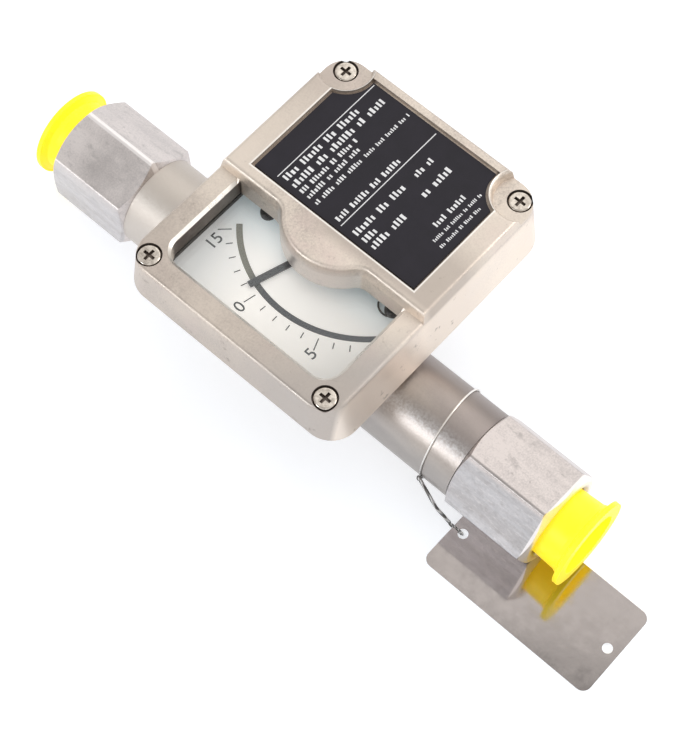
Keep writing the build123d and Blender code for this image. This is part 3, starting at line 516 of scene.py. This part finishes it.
def hexSteel():
    look, colours, amounts = hexLook, hexLook["colours"], hexLook["amounts"]
    f = Finish("hexSteel", Metallic=look["metallic"])
    noises = [f.noise(*noise) for noise in look["noises"].values()]
    mottle, drawn, scuff, grain, pitNoise, streakNoise, fleckNoise, glintNoise = noises
    pit = f.above(pitNoise, *look["pit"])
    tone = mottle * look["shares"][0] + drawn * look["shares"][1] + grain * look["shares"][2]
    base = f.ramp(tone, *zip(look["tones"], (colours["dark"], colours["pale"])))
    base = f.mix(pit * amounts["pit"], base, colours["mark"])
    base = f.mix(f.span(scuff, *look["scuff"]), base, colours["mark"])
    x, y, z = f.axes()
    radius = (x * x + z * z).root()
    outletEnd = f.rising(y, *look["outletEnd"])
    # the sides turned to -X take a painted cool reflection, with streaks along their length, dark flecks
    # and painted glints
    side = f.falling(x + outletEnd * look["coolShift"], *look["coolSide"])
    base = f.mix(side * amounts["cool"], base, colours["cool"])
    streak = f.above(streakNoise, *look["streak"])
    base = f.mix(side * streak * amounts["streak"], base, colours["mark"])
    fleck = f.above(fleckNoise, *look["fleck"])
    base = f.mix(side * fleck * amounts["fleck"], base, colours["scale"])
    glint = f.above(glintNoise, *look["glint"])
    base = f.mix(side * glint * amounts["glint"], base, colours["bright"])
    # painted shade along a ridge of the inlet fitting and a painted highlight along a ridge of the outlet
    # fitting, which is paler
    inletRidge = alongRidge(f, x, z, *look["inletRidge"]) * (1 - outletEnd)
    base = f.mix(inletRidge * amounts["inletRidge"], base, colours["mark"])
    outletRidge = alongRidge(f, x, z, *look["outletRidge"]) * outletEnd
    base = f.mix(outletRidge.most(outletEnd * amounts["outletFlats"]), base, colours["bright"])
    # the bright mouth of the inlet fitting, and the thread in the dark inside the ports
    mouth = f.falling(y, *look["mouthDepth"]) * f.rising(radius, *look["mouthRadius"])
    base = f.mix(mouth * amounts["mouth"], base, colours["bright"])
    thread = (y * (2 * math.pi / look["threadPitch"])).wave() * f.falling(radius, *look["threadRadius"])
    inside = f.falling(radius, *look["insideRadius"])
    base = f.mix(inside * amounts["inside"], base, colours["scale"])
    f.set(Base_Color=base, Roughness=f.span(mottle, *look["roughness"]) + pit * look["pitRough"])
    fine = f.bump(drawn, *look["drawnBump"], f.bump(scuff, *look["scuffBump"]))
    f.set(Normal=f.bump(thread, *look["threadBump"], fine))
    return f


turnedLook = {
    "noise": (500, 3.0, 0.6),
    "tones": (0.35, 0.65),
    "roughness": (-0.05, 0.08),  # below and above a finish's own
    "fine": (3500, 2.0),
    "bump": (0.00002, 0.4),
}


def turnedMetal(name, pale, dark, rough):
    look = turnedLook
    f = Finish(name, Metallic=1.0)
    mottle = f.noise(*look["noise"])
    smoother, rougher = look["roughness"]
    f.set(Base_Color=f.ramp(mottle, *zip(look["tones"], (dark, pale))))
    f.set(Roughness=f.span(mottle, rough + smoother, rough + rougher))
    f.set(Normal=f.bump(f.noise(*look["fine"]), *look["bump"]))
    return f


screwLook = {
    "pale": (0.78, 0.71, 0.63),
    "dark": (0.50, 0.445, 0.39),
    "shade": (0.24, 0.20, 0.175),
    "noise": (900, 3.0, 0.6),
    "tones": (0.35, 0.65),
    "shadeTop": (-0.75, -0.5),
    "roughness": (0.22, 0.4),  # on the dome, and added in the shade
    "fine": (1500, 3.0),
    "bump": (0.00005, 0.4),
}


def screwSteel():
    # below the dome the head lies in shade: its side and the floor of its cross
    look = screwLook
    f = Finish("screwSteel", Metallic=1.0)
    shade = f.falling(f.axes()[2], *look["shadeTop"], padTop)
    steel = f.ramp(f.noise(*look["noise"]), *zip(look["tones"], (look["dark"], look["pale"])))
    domeRough, shadeRough = look["roughness"]
    f.set(Base_Color=f.mix(shade, steel, look["shade"]), Roughness=domeRough + shade * shadeRough)
    f.set(Normal=f.bump(f.noise(*look["fine"]), *look["bump"]))
    return f


wireLook = {
    "low": (0.20, 0.195, 0.19),
    "high": (0.88, 0.85, 0.81),
    "strand": (0.80, 0.79, 0.78),
    "heights": (-4, 9),
    "slant": 0.9,
    "lay": 1.05 * mm,  # length of one turn of the strands
    "tail": (-13.6, -13.2),
    "strandShare": (0, 0.85, -0.2, 0.5),
    "roughness": 0.32,
    "bump": (0.0003, 0.8),
    "metallic": 0.95,
}


def wireSteel():
    # painted light on top of the ring and painted shade below, with the lay of two strands along the tail
    look = wireLook
    f = Finish("wireSteel", Metallic=look["metallic"])
    x, y, z = f.axes()
    base = f.mix(f.rising(z, *look["heights"]), look["low"], look["high"])
    strands = ((y * look["slant"] - z) * (2 * math.pi / look["lay"])).wave()
    tail = f.falling(x, *look["tail"])
    base = f.mix(tail * f.span(strands, *look["strandShare"]), base, look["strand"])
    f.set(Base_Color=base, Roughness=look["roughness"], Normal=f.bump(strands * tail, *look["bump"]))
    return f


plainLook = {
    "specular": 0.3,
    "detail": (4.0, 0.6),
    "tones": (0.3, 0.7),
    "roughness": (0.9, 1.1),  # times a finish's own
    "fine": (8, 2.0),  # times a finish's own noise scale, and detail
    "bump": (0.00003, 0.4),
}


def plainFinish(name, colour, rough, metal=0.0, vary=0.08, scale=300):
    # one colour, a little lighter and darker in places
    look = plainLook
    f = Finish(name, Metallic=metal, Specular_IOR_Level=look["specular"])
    mottle = f.noise(scale, *look["detail"])
    low = tuple(part * (1 - vary) for part in colour)
    high = tuple(min(1.0, part * (1 + vary)) for part in colour)
    smoother, rougher = look["roughness"]
    f.set(Base_Color=f.ramp(mottle, *zip(look["tones"], (low, high))))
    f.set(Roughness=f.span(mottle, rough * smoother, rough * rougher))
    finer, detail = look["fine"]
    f.set(Normal=f.bump(f.noise(scale * finer, detail), *look["bump"]))
    return f


tagLook = {
    "dark": (0.395, 0.358, 0.342),
    "pale": (0.43, 0.39, 0.375),
    "edge": (0.95, 0.94, 0.93),
    "mottle": (40, 5.0, 0.65),
    "haze": (300, 3.0, 0.6),
    "rub": (900, 3.0, 0.6, (1, 0.15, 1)),
    "shares": (0.8, 0.2),  # of mottle and rub in the tone
    "tones": (0.36, 0.64),
    "slope": 0.6302,  # degrees that the tag rises from its free end to the wired end
    "sides": (-0.15, -0.06),  # below the face
    "roughness": (0.06, 0.15, 0.35, 0.7),
    "bump": (0.0003, 0.06),
}
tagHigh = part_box("tag")[1]


def tagMirror():
    # a grey mirror with bright cut sides
    look = tagLook
    f = Finish("tagMirror", Metallic=1.0)
    mottle, haze, rub = f.noise(*look["mottle"]), f.noise(*look["haze"]), f.noise(*look["rub"])
    y, z = f.axes()[1:]
    belowFace = z - tagHigh.z - (y - tagHigh.y) * math.tan(math.radians(look["slope"]))
    tone = mottle * look["shares"][0] + rub * look["shares"][1]
    face = f.ramp(tone, *zip(look["tones"], (look["dark"], look["pale"])))
    f.set(Base_Color=f.mix(f.falling(belowFace, *look["sides"]), face, look["edge"]))
    f.set(Roughness=f.span(haze, *look["roughness"]), Normal=f.bump(mottle, *look["bump"]))
    return f


plugLook = {
    "deep": (1.0, 0.80, 0.004),
    "pale": (1.0, 0.87, 0.02),
    # painted glow
    "glow": (1.0, 0.66, 0.035, 1),
    "glowStrength": 0.42,
    "refraction": 1.45,
    "scatter": (1.0, 0.75, 0.1),
    "scatterDepth": 0.006,
    "scatterAmount": 0.6,
    "noise": (120, 3.0, 0.5),
    "tones": (0.3, 0.7),
    "roughness": (0.34, 0.46),
    "fine": (700, 3.0),
    "bump": (0.00005, 0.3),
}


def plugYellow():
    look = plugLook
    f = Finish("plugYellow", IOR=look["refraction"], Subsurface_Weight=look["scatterAmount"])
    f.set(Subsurface_Radius=look["scatter"], Subsurface_Scale=look["scatterDepth"])
    mottle = f.noise(*look["noise"])
    f.set(Base_Color=f.ramp(mottle, *zip(look["tones"], (look["deep"], look["pale"]))))
    f.set(Roughness=f.span(mottle, *look["roughness"]))
    f.set(Normal=f.bump(f.noise(*look["fine"]), *look["bump"]))
    # painted light: a yellow glow that stands in for light scattered through the plug
    f.set(Emission_Color=look["glow"], Emission_Strength=look["glowStrength"])
    return f


glassLook = {
    "clear": (0.985, 0.99, 0.985, 1),
    "shine": (0.95, 1.0, 1.0, 1),
    "roughness": 0.03,
    "reflection": 0.045,
}


def windowGlass():
    look = glassLook
    f = Finish("windowGlass")
    clear = f.add("ShaderNodeBsdfTransparent", {}, {"Color": look["clear"]})
    shine = f.add("ShaderNodeBsdfGlossy", {}, {"Color": look["shine"], "Roughness": look["roughness"]})
    f.surface(f.add("ShaderNodeMixShader", {}, [look["reflection"], clear, shine]))
    return f


dialLook = {
    "pale": (1.0, 0.955, 0.93),
    "warm": (0.97, 0.925, 0.90),
    "shade": (0.46, 0.49, 0.52),
    "cool": (0.72, 0.87, 0.95),
    "noise": (25, 3.0, 0.5),
    "tones": (0.3, 0.7),
    "slant": 0.3,
    "shadeShare": (0, 0.5, 98 * mm, 114 * mm),
    "coolShare": (0, 0.6, -2 * mm, 8 * mm),
    "glowCentre": (-20 * mm, 14 * mm),  # from the cover's middle
    "glow": (0.30, 0.08, 5 * mm, 30 * mm),  # strengths, and their distances from the centre
    "unlit": (0.0, 0.0, 0.0),
    "roughness": 0.5,
}


def dialWhite():
    # painted shade towards the top end of the scale, painted cool shade beside the boss, and a faint
    # painted glow, strongest in its middle
    look = dialLook
    f = Finish("dialWhite", Roughness=look["roughness"])
    x, y = f.axes()[:2]
    base = f.ramp(f.noise(*look["noise"]), *zip(look["tones"], (look["warm"], look["pale"])))
    base = f.mix(f.span(y - x * look["slant"], *look["shadeShare"]), base, look["shade"])
    base = f.mix(f.span(x, *look["coolShare"]), base, look["cool"])
    fromX = x - (housingX + look["glowCentre"][0])
    fromY = y - (housingY + look["glowCentre"][1])
    glow = f.span((fromX * fromX + fromY * fromY).root(), *look["glow"])
    f.set(Base_Color=base, Emission_Color=f.mix(glow, look["unlit"], base), Emission_Strength=1.0)
    return f


print("making finishes")
finishes = {
    "cast_steel": castSteel(),
    "tube_steel": tubeSteel(),
    "fitting_steel": hexSteel(),
    "turned_steel": turnedMetal("turnedSteel", (0.58, 0.56, 0.53), (0.46, 0.44, 0.42), 0.3),
    "screw_steel": screwSteel(),
    "wire_steel": wireSteel(),
    "tag_mirror": tagMirror(),
    "label_black": plainFinish("labelBlack", (0.016, 0.0135, 0.02), 0.5, 0.0, 0.15, 200),
    "window_glass": windowGlass(),
    "dial_white": dialWhite(),
    "dark_plastic": plainFinish("darkPlastic", (0.06, 0.055, 0.05), 0.5),
    "dark_screw": plainFinish("darkScrew", (0.03, 0.03, 0.032), 0.35, 0.5),
    "pointer_dark": plainFinish("pointerDark", (0.05, 0.048, 0.055), 0.45),
    "brass": turnedMetal("brass", (0.72, 0.52, 0.22), (0.6, 0.42, 0.16), 0.28),
    "jewel": plainFinish("jewel", (0.35, 0.01, 0.03), 0.12),
    "magnet": plainFinish("magnet", (0.06, 0.06, 0.065), 0.5, 0.7),
    "seal_rubber": plainFinish("sealRubber", (0.012, 0.012, 0.012), 0.6),
    "plug_yellow": plugYellow(),
}
inkFinish = plainFinish("dialInk", (0.03, 0.03, 0.034), 0.5)
printFinish = plainFinish("labelPrint", (0.80, 0.80, 0.81), 0.45)
for row in frame["record"]["subparts"]:
    wear(nodes[row["node"]], finishes[row["material_slot"]])


# modelling helpers
def clearSelection():
    for thing in bpy.context.selected_objects:
        thing.select_set(False)


def settle(piece):
    # puts the piece's place into its mesh
    piece.data.transform(piece.matrix_world)
    piece.matrix_world = Matrix.Identity(4)


def closeMesh():
    # turns the faces outwards and goes back to object mode
    bpy.ops.mesh.select_all(action="SELECT")
    bpy.ops.mesh.normals_make_consistent(inside=False)
    bpy.ops.object.mode_set(mode="OBJECT")


def slab(name, centre, length, width, height, turn=0.0):
    # a flat printed strip: a plane drawn up to a thin slab
    clearSelection()
    bpy.ops.mesh.primitive_plane_add(size=1, location=centre, rotation=(0, 0, turn))
    piece = bpy.context.object
    piece.name = name
    bpy.ops.object.mode_set(mode="EDIT")
    bpy.ops.transform.resize(value=(length, width, 1), orient_type="LOCAL")
    bpy.ops.mesh.extrude_region_move(TRANSFORM_OT_translate={"value": (0, 0, height)})
    closeMesh()
    settle(piece)
    return piece


def spun(piece, steps, angle, centre):
    # sweeps the piece's face round an upright axis, clockwise where the angle is positive
    settle(piece)
    bpy.ops.object.mode_set(mode="EDIT")
    bpy.ops.mesh.select_all(action="SELECT")
    bpy.ops.mesh.spin(steps=steps, angle=angle, center=centre, axis=(0, 0, 1), use_auto_merge=False)
    closeMesh()


def joined(name, pieces):
    clearSelection()
    for piece in pieces:
        piece.select_set(True)
    bpy.context.view_layer.objects.active = pieces[0]
    bpy.ops.object.join()
    whole = bpy.context.object
    whole.name = name
    whole.data.name = name
    return whole


def finishPiece(piece, body, finish):
    wear(piece, finish)
    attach(piece, body)


print("printing the dial")
dialPrint = {
    "tickInner": 34.6 * mm,
    "minorOuter": 36.4 * mm,
    "majorOuter": 38.2 * mm,
    "tickWidth": 0.29 * mm,
    "halfHeight": 27.5 * mm,  # ticks beyond this lie under the cover
    "ink": 0.03 * mm,
    "fullAngle": 133.3,
    "unitAngle": 6.8,
    "units": 16,
    "majorStep": 5,
    # text and place from the cover's middle, in millimetres
    "numerals": (("15", -19.6, 24.3), ("10", -30.4, 6.4), ("5", -27.0, -15.9)),
    "numeralSize": 4.7 * mm,
    "numeralSwell": 0.004,  # share of the size
    "curveSteps": 4,
}
shaftLow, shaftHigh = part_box("pointer_shaft")
pivot = (shaftLow + shaftHigh) / 2
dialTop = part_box("dial_plate")[1].z


def onDial(radius, angle, height=0.0):
    turn = math.radians(angle)
    return Vector((pivot.x + radius * math.cos(turn), pivot.y + radius * math.sin(turn), dialTop + height))


ticks = []
for unit in range(dialPrint["units"]):
    angle = dialPrint["fullAngle"] + (dialPrint["units"] - 1 - unit) * dialPrint["unitAngle"]
    outer = dialPrint["minorOuter"] if unit % dialPrint["majorStep"] else dialPrint["majorOuter"]
    inner = dialPrint["tickInner"]
    place = onDial((inner + outer) / 2, angle)
    if abs(place.y - pivot.y) < dialPrint["halfHeight"]:
        turn = math.radians(angle)
        ticks.append(slab("tick", place, outer - inner, dialPrint["tickWidth"], dialPrint["ink"], turn))
finishPiece(joined("scaleTicks", ticks), "meter", inkFinish)


def numeral(text, centre):
    clearSelection()
    bpy.ops.object.text_add(location=centre)
    letters = bpy.context.object.data
    letters.body = text
    letters.size = dialPrint["numeralSize"]
    letters.align_x = "CENTER"
    letters.align_y = "CENTER"
    letters.extrude = dialPrint["ink"] / 2
    letters.offset = dialPrint["numeralSwell"] * dialPrint["numeralSize"]
    letters.resolution_u = dialPrint["curveSteps"]
    bpy.ops.object.convert(target="MESH")
    piece = bpy.context.object
    piece.name = "numeral"
    settle(piece)
    return piece


numerals = []
for text, x, y in dialPrint["numerals"]:
    place = Vector((housingX + x * mm, housingY + y * mm, dialTop + dialPrint["ink"] / 2))
    numerals.append(numeral(text, place))
finishPiece(joined("scaleNumerals", numerals), "meter", inkFinish)

# the band in the slot inside the scale: a strip with the painted shade of the slot's inside, dark and
# paler towards its upper end
print("laying the band")
bandLook = {
    "inner": 31.82 * mm,
    "outer": 33.48 * mm,
    "start": 130.6,
    "end": 227.8,
    "sink": 0.06 * mm,
    "depth": 0.3 * mm,
    "steps": 48,
    "khaki": (0.22, 0.205, 0.165),
    "dark": (0.045, 0.042, 0.052),
    "blend": (92, 99),
    "roughness": 0.5,
    "specular": 0.3,
}
clearSelection()
bandStart = math.radians(bandLook["start"])
bandHeight = -bandLook["sink"] - bandLook["depth"] / 2
bandMiddle = onDial((bandLook["inner"] + bandLook["outer"]) / 2, bandLook["start"], bandHeight)
bpy.ops.mesh.primitive_plane_add(size=1, location=bandMiddle, rotation=(math.pi / 2, 0, bandStart))
band = bpy.context.object
band.name = "scaleBand"
band.scale = (bandLook["outer"] - bandLook["inner"], bandLook["depth"], 1)
bpy.context.view_layer.update()
bandSweep = math.radians(bandLook["start"] - bandLook["end"])
spun(band, bandLook["steps"], bandSweep, (pivot.x, pivot.y, 0))
bandFinish = Finish("bandInk", Roughness=bandLook["roughness"], Specular_IOR_Level=bandLook["specular"])
bandBlend = bandFinish.rising(bandFinish.axes()[1], *bandLook["blend"])
bandFinish.set(Base_Color=bandFinish.mix(bandBlend, bandLook["dark"], bandLook["khaki"]))
finishPiece(band, "meter", bandFinish)

# two rules, and rows of plain blocks between and below them
print("printing the label")
labelPrint = {
    "ruleWidth": 0.26 * mm,
    "print": 0.03 * mm,
    "rules": ((20.1, 0.2, 37.4), (-1.5, 0.2, 36.9)),
    "rows": (  # height above the middle, start, end, height of the blocks, in millimetres
        (18.3, 1.0, 29.0, 1.9), (15.3, 0.8, 37.0, 1.9), (12.6, 0.8, 22.2, 1.4), (10.3, 0.8, 21.2, 1.4),
        (7.6, 0.8, 17.9, 1.3), (7.6, 19.6, 36.8, 1.1), (0.4, 0.8, 24.8, 1.6), (-5.6, 0.8, 19.1, 1.9),
        (-5.7, 23.8, 31.0, 1.7), (-8.6, 0.8, 5.2, 1.8), (-10.9, 20.6, 32.1, 2.0), (-11.4, 0.8, 13.3, 1.9),
        (-18.9, 16.0, 29.2, 1.6), (-21.7, 12.4, 31.0, 0.9), (-24.1, 12.2, 28.0, 0.9),
    ),
    "words": (4, 6, 3, 7, 2, 5),  # blocks in one word after another
    "blockWidth": 0.34,  # this and the gaps are shares of the block's height
    "blockGap": 0.30,
    "wordGap": 0.75,
    "short": 0.72,
    "shortStep": 5,
    "shortCycle": 7,
    "shortPlaces": (1, 3, 4),
    "wide": 1.3,
    "wideCycle": 4,
    "widePlace": 2,
}
plateLow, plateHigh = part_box("label_plate")
plateMiddle = (plateLow + plateHigh) / 2


def printed(x, y, length, width):
    centre = (housingX + x, plateMiddle.y + y, plateHigh.z)
    return slab("strip", centre, length, width, labelPrint["print"])


strips = []
for y, start, end in labelPrint["rules"]:
    strips.append(printed((start + end) / 2 * mm, y * mm, (end - start) * mm, labelPrint["ruleWidth"]))
for row, (y, start, end, tall) in enumerate(labelPrint["rows"]):
    x = start
    blocks = 0
    word = row
    while x + tall * labelPrint["blockWidth"] < end:
        # some blocks are short and some are wide
        shortPlace = (blocks * labelPrint["shortStep"] + row) % labelPrint["shortCycle"]
        height = tall * (labelPrint["short"] if shortPlace in labelPrint["shortPlaces"] else 1)
        widePlace = (blocks + row) % labelPrint["wideCycle"]
        stretch = labelPrint["wide"] if widePlace == labelPrint["widePlace"] else 1
        wide = tall * labelPrint["blockWidth"] * stretch
        strips.append(printed((x + wide / 2) * mm, (y - (tall - height) / 2) * mm, wide * mm, height * mm))
        x += wide + tall * labelPrint["blockGap"]
        blocks += 1
        if blocks == labelPrint["words"][word % len(labelPrint["words"])]:
            x += tall * labelPrint["wordGap"]
            blocks = 0
            word += 1
finishPiece(joined("labelBlocks", strips), "meter", printFinish)

# a bent wire clip beside the lower dial screw
print("bending the clip")
clipWire = {
    "centre": (-3.2 * mm, -21.9 * mm),
    "radius": 3.5 * mm,
    "thickness": 0.26 * mm,
    "sides": 8,
    "start": 118,
    "turn": 82,
    "steps": 14,
    "lift": 0.3 * mm,
}
clearSelection()
clipX, clipY = clipWire["centre"]
clipMiddle = Vector((housingX + clipX, housingY + clipY, dialTop + clipWire["lift"]))
clipStart = math.radians(clipWire["start"])
bpy.ops.mesh.primitive_circle_add(
    vertices=clipWire["sides"],
    radius=clipWire["thickness"],
    fill_type="NGON",
    location=clipMiddle + Vector((math.cos(clipStart), math.sin(clipStart), 0)) * clipWire["radius"],
    rotation=(math.pi / 2, 0, clipStart),
)
clip = bpy.context.object
clip.name = "dialClip"
spun(clip, clipWire["steps"], -math.radians(clipWire["turn"]), clipMiddle)
finishPiece(clip, "meter", finishes["dark_screw"])

print("setting the stage")
bpy.context.view_layer.update()
floorLook = {
    "size": 8.0,
    "drop": 0.00002,  # metres under the lowest point
    "seen": (0.66, 0.69, 0.74, 1.0),  # for the camera and in reflections
    "glow": (1, 1, 1, 1),
    "glowStrength": 0.53,
    "unseen": (0.6, 0.6, 0.6, 1),  # for the light that bounces off it
}
clearSelection()
bpy.ops.mesh.primitive_plane_add(size=floorLook["size"], location=(0, 0, cadBox[0].z - floorLook["drop"]))
floor = bpy.context.object
floor.name = "floor"
# the camera and reflections see a bright floor that keeps the shadow
paper = Finish("floorPaper")
rays = ("Is Camera Ray", "Is Glossy Ray", "Is Transmission Ray")
toCamera, glossy, through = [paper.add("ShaderNodeLightPath", {}, {}, ray) for ray in rays]
shaded = paper.add("ShaderNodeBsdfDiffuse", {}, {"Color": floorLook["seen"]})
lit = {"Color": floorLook["glow"], "Strength": floorLook["glowStrength"]}
glow = paper.add("ShaderNodeEmission", {}, lit)
seen = paper.add("ShaderNodeAddShader", {}, [shaded, glow])
unseen = paper.add("ShaderNodeBsdfDiffuse", {}, {"Color": floorLook["unseen"]})
paper.surface(paper.add("ShaderNodeMixShader", {}, [toCamera.most(glossy).most(through), unseen, seen]))
wear(floor, paper)

lighting = {
    "horizon": 0.82,  # strength of the surround low down
    "zenith": 0.86,  # and overhead
    "heights": (0.1, 0.95),  # of the horizon and the zenith, as shares of straight up
    "surround": (1.0, 0.995, 0.985, 1.0),
    "patches": {  # direction, inner and outer angle, strength taken away
        "overhead": ((-0.46, 0.22, 0.86), 8, 27, 0.5),
        "far": ((0.33, 0.28, 0.90), 8, 20, 0.30),
    },
    "lamps": {  # place, size, power, colour
        "key": ((0.85, 0.35, 1.05), 1.2, 2.2, (1.0, 0.985, 0.96)),
        "right": ((0.8, -0.75, 0.6), 0.6, 4.2, (1.0, 0.96, 0.92)),
        "left": ((-1.0, 0.42, 0.6), 0.45, 2.7, (0.92, 0.96, 1.0)),
    },
    "aim": (0.01, 0.085, 0.0),
}
world = bpy.data.worlds.new("studio")
bpy.context.scene.world = world
world.use_nodes = True
studio = Kit(world.node_tree)
direction = studio.add("ShaderNodeTexCoord", {}, {}, "Generated")
upwards = studio.add("ShaderNodeSeparateXYZ", {}, [direction], "Z")
sky = studio.span(upwards, lighting["horizon"], lighting["zenith"], *lighting["heights"])
for heading, inner, outer, loss in lighting["patches"].values():
    headings = [direction, Vector(heading).normalized()]
    nearness = studio.add("ShaderNodeVectorMath", {"operation": "DOT_PRODUCT"}, headings, "Value")
    edges = {"From Min": math.cos(math.radians(outer)), "From Max": math.cos(math.radians(inner))}
    values = {"Value": nearness, **edges, "To Max": loss}
    sky = sky - studio.add("ShaderNodeMapRange", {"interpolation_type": "SMOOTHSTEP"}, values)
# the camera sees plain white, whatever the strength
direct = studio.add("ShaderNodeLightPath", {}, {}, "Is Camera Ray")
strength = studio.add("ShaderNodeMix", {"data_type": "FLOAT"}, {0: direct, 2: sky, 3: 1.0})
studio.join(world.node_tree.nodes["Background"].inputs["Color"], lighting["surround"])
studio.join(world.node_tree.nodes["Background"].inputs["Strength"], strength)

for name, (place, size, power, colour) in lighting["lamps"].items():
    lampData = bpy.data.lights.new(name, "AREA")
    lampData.shape = "DISK"
    lampData.size = size
    lampData.energy = power
    lampData.color = colour
    lamp = bpy.data.objects.new(name, lampData)
    lamp.location = place
    lamp.rotation_euler = (Vector(lighting["aim"]) - Vector(place)).to_track_quat("-Z", "Y").to_euler()
    bpy.context.scene.collection.objects.link(lamp)

view = {  # the photograph's own viewpoint, in degrees, metres and, for the lens, millimetres
    "eye": (-0.1771, -0.08165, 0.47053),
    "azimuth": -49.377,
    "elevation": 64.074,
    "roll": 1.112,
    "lens": 98.02,
    "sensor": 36.0,
    "near": 0.01,
    "far": 20,
}
azimuth = math.radians(view["azimuth"])
rise = math.radians(view["elevation"])
roll = math.radians(view["roll"])
back = Vector((math.sin(azimuth) * math.cos(rise), -math.cos(azimuth) * math.cos(rise), math.sin(rise)))
level = Vector((0, 0, 1)).cross(back).normalized()
right = level * math.cos(roll) + back.cross(level) * math.sin(roll)
up = back.cross(right)
cameraData = bpy.data.cameras.new("camera")
cameraData.lens = view["lens"]
cameraData.sensor_width = view["sensor"]
cameraData.clip_start = view["near"]
cameraData.clip_end = view["far"]
camera = bpy.data.objects.new("camera", cameraData)
camera.matrix_world = Matrix.Translation(view["eye"]) @ Matrix((right, up, back)).transposed().to_4x4()
bpy.context.scene.collection.objects.link(camera)
bpy.context.scene.camera = camera
bpy.context.scene.view_settings.view_transform = "Standard"

bpy.context.view_layer.update()
print("scene ready")
